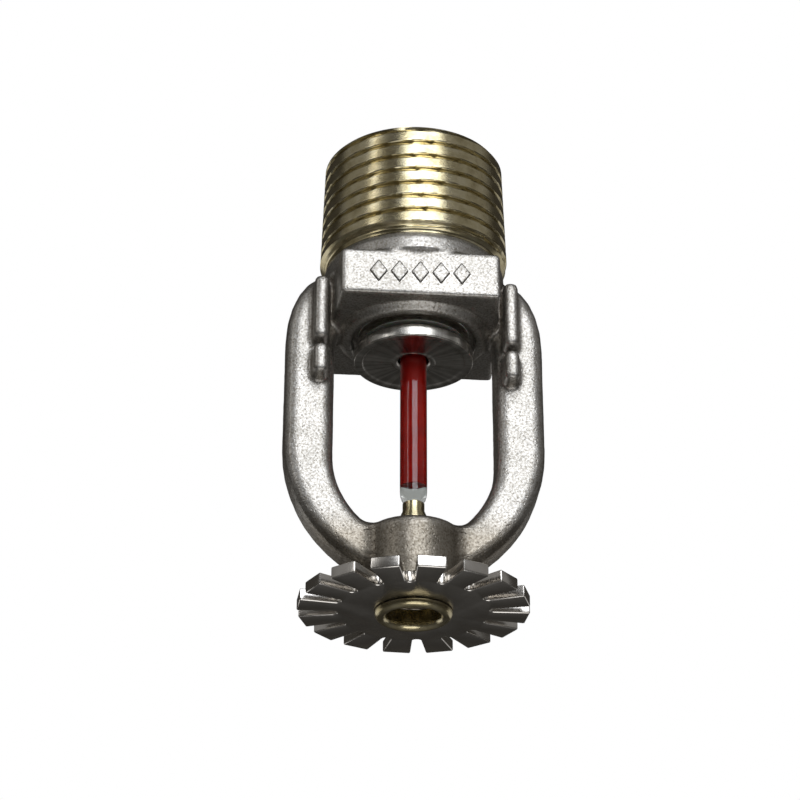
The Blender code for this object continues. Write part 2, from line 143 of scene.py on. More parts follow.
def add_node(tree, kind, settings=None, links=None):
    """Adds one node. Settings are its properties, its ramp's steps or the values of its sockets.

    Links feed its sockets, each from another node's output or from a plain number.
    """
    node = tree.nodes.new(kind)
    for key, value in (settings or {}).items():
        if key == "steps":
            elements = node.color_ramp.elements
            while len(elements) < len(value):
                elements.new(0.5)
            for element, (position, code) in zip(elements, value):
                element.position = position
                element.color = linear(code)
        elif isinstance(key, str) and key.islower() and hasattr(node, key):
            setattr(node, key, value)
        else:
            node.inputs[key].default_value = value
    for key, source in (links or {}).items():
        if isinstance(source, bpy.types.NodeSocket):
            tree.links.new(source, node.inputs[key])
        else:
            node.inputs[key].default_value = source
    return node


def new_material(name, settings):
    """A material with a Principled shader and its object coordinates in millimetres."""
    material = bpy.data.materials.new(name)
    material.use_nodes = True
    tree = material.node_tree
    tree.nodes.clear()
    shader = add_node(tree, "ShaderNodeBsdfPrincipled", settings)
    output = add_node(tree, "ShaderNodeOutputMaterial")
    tree.links.new(shader.outputs["BSDF"], output.inputs["Surface"])
    coords = add_node(tree, "ShaderNodeTexCoord")
    scaled = add_node(tree, "ShaderNodeMapping", {"Scale": (1 / MM, 1 / MM, 1 / MM)},
                      {"Vector": coords.outputs["Object"]})
    return material, tree, shader, scaled.outputs["Vector"]


def clouded(tree, place, steps, scale, detail=2.0, roughness=0.5):
    """A colour that drifts through (position, hex) steps in soft clouds, and the clouds as a number."""
    cloud = add_node(tree, "ShaderNodeTexNoise", {
        "Scale": scale, "Detail": detail, "Roughness": roughness}, {"Vector": place})
    ramp = add_node(tree, "ShaderNodeValToRGB", {"steps": steps}, {"Fac": cloud.outputs["Fac"]})
    return ramp.outputs["Color"], cloud.outputs["Fac"]


def stained(tree, colour, pattern, steps, share):
    """Darkens a colour by a pattern drawn through (position, hex) steps."""
    ramp = add_node(tree, "ShaderNodeValToRGB", {"steps": steps}, {"Fac": pattern})
    mix = add_node(tree, "ShaderNodeMix", {"data_type": "RGBA", "blend_type": "MULTIPLY"},
                   {0: share, 6: colour, 7: ramp.outputs["Color"]})
    return mix.outputs[2]


def surface(tree, shader, colour, height, strength, depth):
    """Gives a shader its colour, and stands a height pattern on it as fine relief."""
    tree.links.new(colour, shader.inputs["Base Color"])
    bump = add_node(tree, "ShaderNodeBump", {"Strength": strength, "Distance": depth}, {"Height": height})
    tree.links.new(bump.outputs["Normal"], shader.inputs["Normal"])


def cast_nickel():
    # Satin nickel plate on a sand-cast body: the sand's grain shows through as a fine sparkle,
    # concave creases carry a browner painted shade, and the colour turns darker towards the knuckle at the
    # foot.
    material, tree, shader, place = new_material("satin_nickel_on_casting", {"Metallic": 1.0})
    grain = add_node(tree, "ShaderNodeTexNoise", {"Scale": 4.0, "Detail": 4.0, "Roughness": 0.6},
                     {"Vector": place})
    colour, _ = clouded(tree, place, ((0.3, "#A8A59F"), (0.7, "#BFBCB7")), 0.35, detail=3.0)
    pits = add_node(tree, "ShaderNodeTexVoronoi", {"Scale": 2.4, "Randomness": 1.0}, {"Vector": place})
    painted_crease_shade = add_node(tree, "ShaderNodeNewGeometry")
    colour = stained(tree, colour, grain.outputs["Fac"], ((0.34, "#BDB6AC"), (0.58, "#FFFFFF")), 0.85)
    upright = add_node(tree, "ShaderNodeSeparateXYZ", links={0: place})
    foot = add_node(tree, "ShaderNodeMapRange", {
        "From Min": DARKER_FOOT[0], "From Max": DARKER_FOOT[1], "To Min": 1.0, "To Max": 0.0},
        {"Value": upright.outputs["Z"]})
    colour = stained(tree, colour, foot.outputs["Result"], ((0.0, "#FFFFFF"), (1.0, "#D2CCC2")), 1.0)
    # Painted shade: concave creases, found by pointiness, darkened towards a warm brown
    colour = stained(tree, colour, painted_crease_shade.outputs["Pointiness"], ((0.44, "#8A7F72"), (0.5, "#FFFFFF")), 0.8)
    polish = add_node(tree, "ShaderNodeMapRange", {
        "From Min": 0.3, "From Max": 0.7, "To Min": 0.5, "To Max": 0.36}, {"Value": grain.outputs["Fac"]})
    tree.links.new(polish.outputs["Result"], shader.inputs["Roughness"])
    pit_depth = add_node(tree, "ShaderNodeMapRange", {"From Max": 0.35}, {"Value": pits.outputs["Distance"]})
    height = add_node(tree, "ShaderNodeMath", {"operation": "MULTIPLY_ADD", 1: 0.6},
                      {0: grain.outputs["Fac"], 2: pit_depth.outputs["Result"]})
    surface(tree, shader, colour, height.outputs[0], 0.5, 0.05 * MM)
    return material


def turned_brass():
    # Bare brass straight off the die or the lathe: olive-brown where it is dull, with fine
    # tool lines that run round it.
    material, tree, shader, place = new_material("bare_turned_brass", {"Metallic": 1.0})
    lines = add_node(tree, "ShaderNodeTexWave", {
        "wave_type": "BANDS", "bands_direction": "Z", "Scale": 3.2, "Distortion": 1.2,
        "Detail": 2.0, "Detail Scale": 1.5}, {"Vector": place})
    colour, cloud = clouded(tree, place, ((0.25, "#A3956F"), (0.5, "#CBBF9A"), (0.75, "#DFD6B8")),
                            0.55, detail=5.0, roughness=0.6)
    polish = add_node(tree, "ShaderNodeMapRange", {"To Min": 0.27, "To Max": 0.15}, {"Value": cloud})
    tree.links.new(polish.outputs["Result"], shader.inputs["Roughness"])
    surface(tree, shader, colour, lines.outputs["Fac"], 0.25, 0.02 * MM)
    return material


def turned_nickel():
    # Plated cap turned on a lathe: a fine spiral of tool marks spreads each light into rays,
    # and radial streaks of painted reflection darken its colour by angle.
    material, tree, shader, place = new_material("plated_turned_cap", {
        "Metallic": 1.0, "Roughness": 0.22, "Anisotropic": 0.8})
    rings = add_node(tree, "ShaderNodeTexWave", {
        "wave_type": "RINGS", "rings_direction": "Z", "Scale": 2.4, "Distortion": 0.4,
        "Detail": 2.0}, {"Vector": place})
    colour, _ = clouded(tree, place, ((0.3, "#B4B0A8"), (0.7, "#D2CFC9")), 0.8, detail=3.0)
    around = add_node(tree, "ShaderNodeTexGradient", {"gradient_type": "RADIAL"}, {"Vector": place})
    # Painted reflection: streaks by angle round the axis, standing in for the turned face's radial glints
    painted_reflection_streaks = add_node(tree, "ShaderNodeTexNoise", {"noise_dimensions": "1D", "Scale": 42.0, "Detail": 3.0},
                   {"W": around.outputs["Fac"]})
    colour = stained(tree, colour, painted_reflection_streaks.outputs["Fac"], ((0.4, "#6E6A63"), (0.62, "#FFFFFF")), 0.4)
    tangent = add_node(tree, "ShaderNodeTangent", {"direction_type": "RADIAL", "axis": "Z"})
    tree.links.new(tangent.outputs["Tangent"], shader.inputs["Tangent"])
    surface(tree, shader, colour, rings.outputs["Fac"], 0.3, 0.015 * MM)
    return material


def stamped_plate():
    # Rolled and stamped strip with a dull plate: even, slightly cloudy, soft highlights.
    material, tree, shader, place = new_material("dull_plated_strip", {"Metallic": 1.0})
    fine = add_node(tree, "ShaderNodeTexNoise", {"Scale": 5.0, "Detail": 2.0}, {"Vector": place})
    colour, cloud = clouded(tree, place, ((0.3, "#C4BFB8"), (0.7, "#DAD6D0")), 0.5, detail=4.0)
    polish = add_node(tree, "ShaderNodeMapRange", {"To Min": 0.28, "To Max": 0.18}, {"Value": cloud})
    tree.links.new(polish.outputs["Result"], shader.inputs["Roughness"])
    surface(tree, shader, colour, fine.outputs["Fac"], 0.2, 0.02 * MM)
    return material


def bulb_glass_material():
    # Drawn borosilicate tube: clear and glossy, a hair thick.
    material, _, _, _ = new_material("drawn_clear_glass", {
        "Base Color": linear("#F4F7F5"), "Roughness": 0.08, "IOR": 1.47,
        "Specular IOR Level": 0.35, "Transmission Weight": 1.0})
    return material


def bulb_liquid_material():
    # Dyed glycerine: deep red, only slightly see-through. It wets the glass, so their indices
    # nearly cancel and only the glass shines.
    material, tree, shader, place = new_material("red_dyed_liquid", {
        "Roughness": 0.2, "IOR": 1.1, "Transmission Weight": 0.15})
    colour, _ = clouded(tree, place, ((0.3, "#A3150D"), (0.7, "#BE1C12")), 0.5)
    tree.links.new(colour, shader.inputs["Base Color"])
    return material


def spring_strip():
    # Rolled nickel-alloy strip: smooth, faintly clouded.
    material, tree, shader, place = new_material("rolled_spring_strip", {
        "Metallic": 1.0, "Roughness": 0.3})
    colour, _ = clouded(tree, place, ((0.3, "#9A948A"), (0.7, "#BDB8AF")), 1.4, detail=3.0)
    tree.links.new(colour, shader.inputs["Base Color"])
    return material


def seal_film():
    # Skived fluoropolymer film: milky, waxy, slightly see-through.
    material, tree, shader, place = new_material("milky_fluoropolymer", {
        "Roughness": 0.45, "Subsurface Weight": 0.2, "Subsurface Scale": 0.2 * MM})
    colour, _ = clouded(tree, place, ((0.3, "#D8D8D0"), (0.7, "#F0F0EA")), 1.0)
    tree.links.new(colour, shader.inputs["Base Color"])
    return material


def link_mesh(name, bm, material=None):
    mesh = bpy.data.meshes.new(name)
    bm.to_mesh(mesh)
    bm.free()
    obj = bpy.data.objects.new(name, mesh)
    bpy.context.scene.collection.objects.link(obj)
    if material:
        mesh.materials.append(material)
    return obj


def baked(obj):
    """The same object with its modifiers turned into plain mesh."""
    bpy.context.view_layer.update()
    evaluated = obj.evaluated_get(bpy.context.evaluated_depsgraph_get())
    mesh = bpy.data.meshes.new_from_object(evaluated)
    obj.modifiers.clear()
    obj.data = mesh
    return obj


def shade(obj, degrees=35):
    obj.data.shade_smooth()
    obj.data.set_sharp_from_angle(angle=math.radians(degrees))
    return obj


def dropped(obj):
    bpy.data.objects.remove(obj, do_unlink=True)


def turned(name, profile, material=None, segments=128):
    """A solid turned about Z from (radius, height) points that run down its outer side."""
    bm = bmesh.new()
    rings = []
    for radius, height in profile:
        if radius < 1e-7:
            rings.append([bm.verts.new((0, 0, height))])
            continue
        rings.append([
            bm.verts.new((radius * math.cos(2 * math.pi * i / segments),
                          radius * math.sin(2 * math.pi * i / segments), height))
            for i in range(segments)])
    closed = profile[0][0] > 1e-7
    pairs = list(zip(rings, rings[1:] + rings[:1])) if closed else list(zip(rings, rings[1:]))
    for upper, lower in pairs:
        for i in range(segments):
            j = (i + 1) % segments
            corners = [upper[i % len(upper)], lower[i % len(lower)],
                       lower[j % len(lower)], upper[j % len(upper)]]
            unique = list(dict.fromkeys(corners))
            if len(unique) > 2:
                bm.faces.new(unique)
    bmesh.ops.recalc_face_normals(bm, faces=bm.faces)
    return link_mesh(name, bm, material)


def rounded_profile(points, radius, steps=3):
    """Softens each inner corner of a (radius, height) profile with a short arc.

    An arc takes less than half of a side, so that two arcs never meet.
    """
    result = [points[0]]
    for before, corner, after in zip(points, points[1:], points[2:]):
        here = Vector(corner)
        to_before, to_after = Vector(before) - here, Vector(after) - here
        reach = min(radius, to_before.length / 2.2, to_after.length / 2.2)
        start = here + to_before.normalized() * reach
        end = here + to_after.normalized() * reach
        for i in range(steps + 1):
            t = i / steps
            point = start * (1 - t) ** 2 + here * 2 * t * (1 - t) + end * t ** 2
            result.append((point.x, point.y))
    result.append(points[-1])
    return result


def geometry_tree(name, inputs):
    """An empty Geometry Nodes tree with a Geometry socket each way and named number inputs."""
    tree = bpy.data.node_groups.new(name, "GeometryNodeTree")
    tree.interface.new_socket("Geometry", in_out="INPUT", socket_type="NodeSocketGeometry")
    for label, (kind, value) in inputs.items():
        socket = tree.interface.new_socket(label, in_out="INPUT", socket_type=kind)
        socket.default_value = value
    tree.interface.new_socket("Geometry", in_out="OUTPUT", socket_type="NodeSocketGeometry")
    return tree, add_node(tree, "NodeGroupInput"), add_node(tree, "NodeGroupOutput")


def run_tree(obj, tree, values):
    """Runs a tree on an object, with input values by name, and leaves a plain mesh."""
    modifier = obj.modifiers.new(tree.name, "NODES")
    modifier.node_group = tree
    sockets = {item.name: item.identifier for item in tree.interface.items_tree
               if item.item_type == "SOCKET" and item.in_out == "INPUT"}
    for label, value in values.items():
        modifier[sockets[label]] = value
    return baked(obj)


def helical_thread_tree(material):
    """Sinks a helical groove into the outer side of a turned piece, by moving its points inwards."""
    tree, given, result = geometry_tree("helical_groove", {
        "Pitch": ("NodeSocketFloat", THREAD_PITCH), "Depth": ("NodeSocketFloat", THREAD_DEPTH),
        "Crest": ("NodeSocketFloat", THREAD_CREST), "Top": ("NodeSocketFloat", 0.0),
        "Bottom": ("NodeSocketFloat", -THREAD_LENGTH), "Outside": ("NodeSocketFloat", 8.5 * MM),
        "Run Out": ("NodeSocketFloat", THREAD_RUNOUT),
    })

    position = add_node(tree, "GeometryNodeInputPosition")
    split = add_node(tree, "ShaderNodeSeparateXYZ", links={0: position.outputs[0]})
    values = dict(zip("xyz", split.outputs))
    values.update({socket.name: socket for socket in given.outputs if socket.name})
    flank = add_node(tree, "ShaderNodeMapRange", {
        "interpolation_type": "SMOOTHSTEP", "From Max": THREAD_ROOT}, {"From Min": values["Crest"]})
    fade = add_node(tree, "ShaderNodeMapRange", links={"Value": values["z"], "From Min": values["Bottom"]})
    values["flank"], values["fade"] = flank.outputs["Result"], fade.outputs["Result"]
    # Each step is a new value's name, what is done, and the one or two values it is done to
    for name, operation, *sources in (
            ("angle", "ARCTAN2", "y", "x"),
            ("turn", "DIVIDE", "angle", 2 * math.pi),
            ("pitches", "DIVIDE", "z", "Pitch"),
            ("wound", "SUBTRACT", "pitches", "turn"),
            ("phase", "FRACT", "wound"),
            ("off_centre", "SUBTRACT", "phase", 0.5),
            ("distance", "ABSOLUTE", "off_centre"),
            ("from_crest", "MULTIPLY", "distance", 2.0),
            ("full_depth_from", "ADD", "Bottom", "Run Out"),
            ("x_squared", "MULTIPLY", "x", "x"),
            ("y_squared", "MULTIPLY", "y", "y"),
            ("radius_squared", "ADD", "x_squared", "y_squared"),
            ("radius", "SQRT", "radius_squared"),
            ("outside", "GREATER_THAN", "radius", "Outside"),
            ("under_top", "LESS_THAN", "z", "Top"),
            ("over_bottom", "GREATER_THAN", "z", "Bottom"),
            ("between", "MULTIPLY", "under_top", "over_bottom"),
            ("threaded", "MULTIPLY", "outside", "between"),
            ("groove", "MULTIPLY", "flank", "Depth"),
            ("sunk", "MULTIPLY", "groove", "fade"),
            ("share_of_radius", "DIVIDE", "sunk", "radius"),
            ("share", "MULTIPLY", "share_of_radius", "threaded"),
            ("inwards", "MULTIPLY", "share", -1.0),
            ("x_move", "MULTIPLY", "x", "inwards"),
            ("y_move", "MULTIPLY", "y", "inwards")):
        sums = add_node(tree, "ShaderNodeMath", {"operation": operation},
                        {i: values.get(source, source) for i, source in enumerate(sources)})
        values[name] = sums.outputs[0]
    tree.links.new(values["from_crest"], flank.inputs["Value"])
    tree.links.new(values["full_depth_from"], fade.inputs["From Max"])
    inward = add_node(tree, "ShaderNodeCombineXYZ", links={0: values["x_move"], 1: values["y_move"]})
    moved = add_node(tree, "GeometryNodeSetPosition", links={
        "Geometry": given.outputs["Geometry"], "Offset": inward.outputs[0]})
    real = add_node(tree, "GeometryNodeRealizeInstances", links={0: moved.outputs[0]})
    painted = add_node(tree, "GeometryNodeSetMaterial", {"Material": material}, {0: real.outputs[0]})
    tree.links.new(painted.outputs[0], result.inputs[0])
    return tree


def evenly(start, end, step):
    """Heights from start towards end, one step apart, both ends left out."""
    count = max(1, int(abs(end - start) / step))
    return [start + (end - start) * i / count for i in range(1, count)]


def make_pipe_thread(brass, tree):
    """The threaded inlet, with its bore."""
    rows_step = 0.075 * MM
    low_radius = THREAD_RADIUS + THREAD_TAPER * THREAD_LENGTH
    start = INLET - THREAD_CHAMFER
    runout = THREAD_LOW + THREAD_RUNOUT
    outer = [(INLET_BORE + 0.5 * MM, INLET), (THREAD_RADIUS - THREAD_CHAMFER, INLET),
             (THREAD_RADIUS, start)]
    outer += [(THREAD_RADIUS - THREAD_TAPER * (z - INLET), z) for z in evenly(start, runout, rows_step)]
    outer += [(low_radius, runout)]
    outer += [(low_radius + (NECK_TOP_RADIUS - low_radius) * (runout - z) / THREAD_RUNOUT, z)
              for z in evenly(runout, THREAD_LOW, rows_step)]
    outer += [(NECK_TOP_RADIUS, THREAD_LOW), (NECK_TOP_RADIUS - 0.05 * MM, NECK_LIP),
              (INLET_BORE, NECK_LIP), (INLET_BORE, INLET - 0.5 * MM)]
    piece = turned("pipe_thread", outer, brass, segments=160)
    run_tree(piece, tree, {"Top": INLET - 0.02 * MM, "Bottom": THREAD_LOW})
    return shade(piece, 50)


def cad_copy(node):
    """A merged copy of a CAD node's mesh, in millimetres."""
    bm = bmesh.new()
    bm.from_mesh(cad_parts[node].data)
    bmesh.ops.remove_doubles(bm, verts=bm.verts, dist=0.001 * MM)
    bmesh.ops.scale(bm, vec=(1 / MM,) * 3, verts=bm.verts)
    return bm


def cast_skin(obj):
    """Remeshes an object in millimetres into an even skin."""
    remesh = obj.modifiers.new("cast", "REMESH")
    remesh.mode = "VOXEL"
    remesh.voxel_size = CAST_VOXEL
    baked(obj)


def grow(mesh, reach):
    """Moves the skin near the knuckle out along its normals, or in, by up to a reach."""
    start, full = KNUCKLE_ZONE
    moves = []
    for vertex in mesh.vertices:
        share = min(1.0, max(0.0, (start - vertex.co.z) / (start - full)))
        moves.append(vertex.normal * (reach * share * share * (3 - 2 * share)))
    for vertex, move in zip(mesh.vertices, moves):
        vertex.co += move


def true_up(mesh, side, reach=0.16):
    """Puts the skin that lies near a turned side exactly on it."""
    for vertex in mesh.vertices:
        x, y, z = vertex.co
        for (high, first), (low, second) in zip(side, side[1:]):
            if not low <= z <= high:
                continue
            radius = math.hypot(x, y)
            wanted = first + (second - first) * (high - z) / (high - low)
            if abs(radius - wanted) < reach:
                vertex.co = (x * wanted / radius, y * wanted / radius, z)


def make_cast_body(nickel):
    """The cast part of the frame: the CAD solid below the thread, with cast fillets and grain."""
    body = link_mesh("cast_body", cad_copy("frame"), nickel)
    low, high = DEFLECTOR_HIGH.z / MM, NECK_LIP / MM
    cutter_bm = bmesh.new()
    bmesh.ops.create_cube(cutter_bm, size=1.0)
    bmesh.ops.scale(cutter_bm, vec=(60, 60, high - low), verts=cutter_bm.verts)
    bmesh.ops.translate(cutter_bm, vec=(0, 0, (high + low) / 2), verts=cutter_bm.verts)
    keep = link_mesh("keep", cutter_bm)
    cut = body.modifiers.new("keep", "BOOLEAN")
    cut.operation = "INTERSECT"
    cut.solver = "EXACT"
    cut.object = keep
    cast_skin(body)
    dropped(keep)
    # Growing and then shrinking the skin fills the inner corners with round fillets
    grow(body.data, KNUCKLE_FILLET)
    cast_skin(body)
    grow(body.data, -KNUCKLE_FILLET)
    soften = body.modifiers.new("soften", "SMOOTH")
    soften.factor = 0.5
    soften.iterations = CAST_SMOOTHING
    baked(body)
    mesh = body.data
    for side in (NECK_SIDE, KNUCKLE_SIDE, SEAT_SIDE):
        true_up(mesh, side)
    normals = [vertex.normal.copy() for vertex in mesh.vertices]
    for vertex, normal in zip(mesh.vertices, normals):
        grain = noise.noise(vertex.co * 1.9) + 0.5 * noise.noise(vertex.co * 4.1)
        swell = noise.noise(vertex.co * 0.3)
        vertex.co += normal * (CAST_GRAIN * grain + CAST_SWELL * swell)
    mesh.transform(Matrix.Scale(MM, 4))
    mesh.materials.clear()
    mesh.materials.append(nickel)
    mesh.shade_smooth()
    return body


def raised_marks_tree(material):
    """Stands the same small raised mark along a line, one after another."""
    tree, given, result = geometry_tree("raised_marks", {
        "Marks": ("NodeSocketInt", MARK_COUNT), "Step": ("NodeSocketFloat", MARK_STEP),
    })
    last = add_node(tree, "ShaderNodeMath", {"operation": "SUBTRACT", 1: 1.0},
                    {0: given.outputs["Marks"]})
    start = add_node(tree, "ShaderNodeMath", {"operation": "MULTIPLY"},
                     {0: last.outputs[0], 1: given.outputs["Step"]})
    half = add_node(tree, "ShaderNodeMath", {"operation": "MULTIPLY", 1: -0.5}, {0: start.outputs[0]})
    points = add_node(tree, "GeometryNodeMeshLine", {"mode": "OFFSET"}, {
        "Count": given.outputs["Marks"],
        "Start Location": add_node(tree, "ShaderNodeCombineXYZ", links={0: half.outputs[0]}).outputs[0],
        "Offset": add_node(tree, "ShaderNodeCombineXYZ",
                           links={0: given.outputs["Step"]}).outputs[0]})
    placed = add_node(tree, "GeometryNodeInstanceOnPoints", links={
        "Points": points.outputs[0], "Instance": given.outputs["Geometry"]})
    real = add_node(tree, "GeometryNodeRealizeInstances", links={0: placed.outputs[0]})
    painted = add_node(tree, "GeometryNodeSetMaterial", {"Material": material}, {0: real.outputs[0]})
    tree.links.new(painted.outputs[0], result.inputs[0])
    return tree


def make_foundry_marks(nickel):
    """A row of plain raised lozenges on the front wrench flat."""
    bm = bmesh.new()
    bmesh.ops.create_cone(bm, cap_ends=True, segments=4, depth=2 * MARK_HEIGHT,
                          radius1=1.75 * MM, radius2=1.3 * MM)
    bmesh.ops.scale(bm, vec=(0.72, 1.0, 1.0), verts=bm.verts)
    bmesh.ops.rotate(bm, cent=(0, 0, 0), matrix=Matrix.Rotation(math.radians(90), 3, "X"),
                     verts=bm.verts)
    marks = link_mesh("foundry_marks", bm, nickel)
    soft = marks.modifiers.new("soft", "BEVEL")
    soft.width = 0.12 * MM
    soft.segments = 2
    baked(marks)
    run_tree(marks, raised_marks_tree(nickel), {"Marks": MARK_COUNT, "Step": MARK_STEP})
    marks.data.transform(Matrix.Translation((-0.1 * MM, WRENCH_FLAT + 0.1 * MM, FLAT_CENTRE)))
    return shade(marks, 40)


def make_swaged_ring(brass):
    """The end of the tenon, spun over under the deflector, with the screw's bore through it."""
    face = DEFLECTOR_LOW.z - 0.04 * MM
    shank_top = DEFLECTOR_HIGH.z - 0.02 * MM
    middle = (LIP_RADIUS + SCREW_BORE) / 2
    half = (LIP_RADIUS - SCREW_BORE) / 2
    bead = face - 0.12 * MM
    profile = [(SCREW_BORE, shank_top), (TENON_RADIUS, shank_top), (TENON_RADIUS, face),
               (LIP_RADIUS - 0.08 * MM, face), (LIP_RADIUS, face - 0.06 * MM)]
    profile += [(middle + half * math.cos(turn), bead - (bead - FRAME_LOW.z) * math.sin(turn))
                for turn in (math.radians(15 * i) for i in range(13))]
    return shade(turned("swaged_ring", profile, brass), 40)


def slot_cutter_bm():
    """One deflector slot as a solid, pointing along +X from the middle."""
    root_round = SLOT_ROOT_WIDTH / 2
    reach = DEFLECTOR_FLAT + 1.5 * MM
    outline = [
        (SLOT_ROOT + root_round + root_round * math.cos(turn), root_round * math.sin(turn))
        for turn in (math.radians(90 + 15 * i) for i in range(13))]
    outline += [(reach, -SLOT_TIP_WIDTH / 2), (reach, SLOT_TIP_WIDTH / 2)]
    bm = bmesh.new()
    low = DEFLECTOR_LOW.z - 0.5 * MM
    floor = bm.faces.new([bm.verts.new((x, y, low)) for x, y in outline])
    made = bmesh.ops.extrude_face_region(bm, geom=[floor])["geom"]
    moved = [item for item in made if isinstance(item, bmesh.types.BMVert)]
    bmesh.ops.translate(bm, vec=(0, 0, DEFLECTOR_THICK + 1.0 * MM), verts=moved)
    bmesh.ops.recalc_face_normals(bm, faces=bm.faces)
    return bm


def slotted_disc_tree(material, cutter):
    """Cuts one slot many times round a disc."""
    tree, given, result = geometry_tree("slots_round_a_disc", {
        "Slots": ("NodeSocketInt", TINES), "First": ("NodeSocketFloat", 0.0),
    })
    source = add_node(tree, "GeometryNodeObjectInfo")
    source.inputs["Object"].default_value = cutter
    points = add_node(tree, "GeometryNodeMeshLine", {"mode": "OFFSET", "Offset": (0, 0, 0)},
                      {"Count": given.outputs["Slots"]})
    index = add_node(tree, "GeometryNodeInputIndex")
    step = add_node(tree, "ShaderNodeMath", {"operation": "DIVIDE", 0: 2 * math.pi},
                    {1: given.outputs["Slots"]})
    angle = add_node(tree, "ShaderNodeMath", {"operation": "MULTIPLY_ADD"},
                     {0: index.outputs[0], 1: step.outputs[0], 2: given.outputs["First"]})
    turn = add_node(tree, "ShaderNodeCombineXYZ", links={2: angle.outputs[0]})
    placed = add_node(tree, "GeometryNodeInstanceOnPoints", links={
        "Points": points.outputs[0], "Instance": source.outputs["Geometry"],
        "Rotation": turn.outputs[0]})
    real = add_node(tree, "GeometryNodeRealizeInstances", links={0: placed.outputs[0]})
    cut = add_node(tree, "GeometryNodeMeshBoolean", {"operation": "DIFFERENCE"})
    tree.links.new(given.outputs["Geometry"], cut.inputs["Mesh 1"])
    tree.links.new(real.outputs[0], cut.inputs["Mesh 2"])
    flat = add_node(tree, "GeometryNodeRealizeInstances", links={0: cut.outputs[0]})
    painted = add_node(tree, "GeometryNodeSetMaterial", {"Material": material}, {0: flat.outputs[0]})
    tree.links.new(painted.outputs[0], result.inputs[0])
    return tree


def make_deflector(plate):
    """The flat disc with its ring of tines, edges slightly rounded by the press."""
    half_tine = math.pi / TINES
    bm = bmesh.new()
    corner = DEFLECTOR_FLAT / math.cos(half_tine)
    bmesh.ops.create_cone(bm, cap_ends=True, segments=TINES, depth=DEFLECTOR_THICK,
                          radius1=corner, radius2=corner)
    bmesh.ops.rotate(bm, cent=(0, 0, 0), verts=bm.verts,
                     matrix=Matrix.Rotation(TINE_FIRST + half_tine, 3, "Z"))
    bmesh.ops.translate(bm, vec=(0, 0, DEFLECTOR_LOW.z + DEFLECTOR_THICK / 2), verts=bm.verts)
    disc = link_mesh("deflector_plate", bm, plate)
    cutter = link_mesh("slot_cutter", slot_cutter_bm())
    run_tree(disc, slotted_disc_tree(plate, cutter), {"Slots": TINES, "First": TINE_FIRST + half_tine})
    dropped(cutter)
    hole = turned("deflector_hole", [
        (0.0, DEFLECTOR_HIGH.z + MM), (TENON_RADIUS + 0.03 * MM, DEFLECTOR_HIGH.z + MM),
        (TENON_RADIUS + 0.03 * MM, DEFLECTOR_LOW.z - MM), (0.0, DEFLECTOR_LOW.z - MM)])
    bore = disc.modifiers.new("bore", "BOOLEAN")
    bore.operation = "DIFFERENCE"
    bore.object = hole
    baked(disc)
    dropped(hole)
    soft = disc.modifiers.new("pressed_edges", "BEVEL")
    soft.width = 0.18 * MM
    soft.segments = 3
    soft.limit_method = "ANGLE"
    soft.angle_limit = math.radians(30)
    baked(disc)
    disc.data.materials.clear()
    disc.data.materials.append(plate)
    return shade(disc, 25)


def make_bulb(glass, liquid):
    """The glass, its liquid with a curved surface, both turned finely."""
    outer = (BULB_HIGH.x - BULB_LOW.x) / 2
    top, foot = BULB_HIGH.z, BULB_LOW.z
    shoulder = foot + BULB_SHOULDER

    def dome(radius, peak, steps=14):
        return [(radius * math.sin(turn), peak - radius + radius * math.cos(turn))
                for turn in (math.pi / 2 * i / steps for i in range(steps + 1))]

    outside = dome(outer, top) + [
        (outer, shoulder), (outer - 0.05 * MM, shoulder - 0.6 * MM),
        (1.32 * MM, foot + 1.1 * MM), (0.9 * MM, foot + 0.55 * MM), (0.5 * MM, foot + 0.1 * MM),
        (0.3 * MM, foot)]
    inside = [(0.12 * MM, foot), (0.12 * MM, foot + 0.5 * MM), (outer - BULB_WALL, shoulder - 0.5 * MM)]
    inside += list(reversed(dome(outer - BULB_WALL, top - BULB_WALL)))
    tube = turned("bulb_tube", outside + inside, glass, segments=96)
    shade(tube, 60)

    # Round glass magnifies what fills it, so the liquid is drawn almost as wide as the tube
    radius = outer - BULB_WALL + 0.01 * MM
    column = dome(radius, top - BULB_WALL + 0.01 * MM)
    # The surface stands a little higher in the middle than at the glass
    column += [(radius * share, LIQUID_SURFACE + rise * MM)
               for share, rise in ((1.0, 0.0), (0.9, 0.1), (0.6, 0.22), (0.0, 0.28))]
    filling = turned("liquid_column", column, liquid, segments=96)
    shade(filling, 60)
    return tube, filling


def make_cap(nickel):
    """The turned cap, with a rolled rim and a shallow dish under it."""
    radius = (CAP_HIGH.x - CAP_LOW.x) / 2
    low, high = CAP_LOW.z, CAP_HIGH.z
    rim_top = low + CAP_RIM
    bore = CAP_SOCKET
    profile = rounded_profile([
        (0.0, high), (3.2 * MM, high), (3.2 * MM, CAP_LEDGE), (5.9 * MM, CAP_LEDGE), (6.1 * MM, rim_top),
        (radius, rim_top), (radius, low), (radius - 0.9 * MM, low), (radius - 1.1 * MM, low + 0.12 * MM),
        (bore + 0.9 * MM, low + 0.12 * MM), (bore + 0.7 * MM, low + 0.02 * MM),
        (bore + 0.3 * MM, low + 0.05 * MM), (bore, low + 0.4 * MM), (bore, low + 1.8 * MM),
        (0.0, low + 1.8 * MM),
    ], 0.18 * MM)
    return shade(turned("valve_cap", profile, nickel), 40)


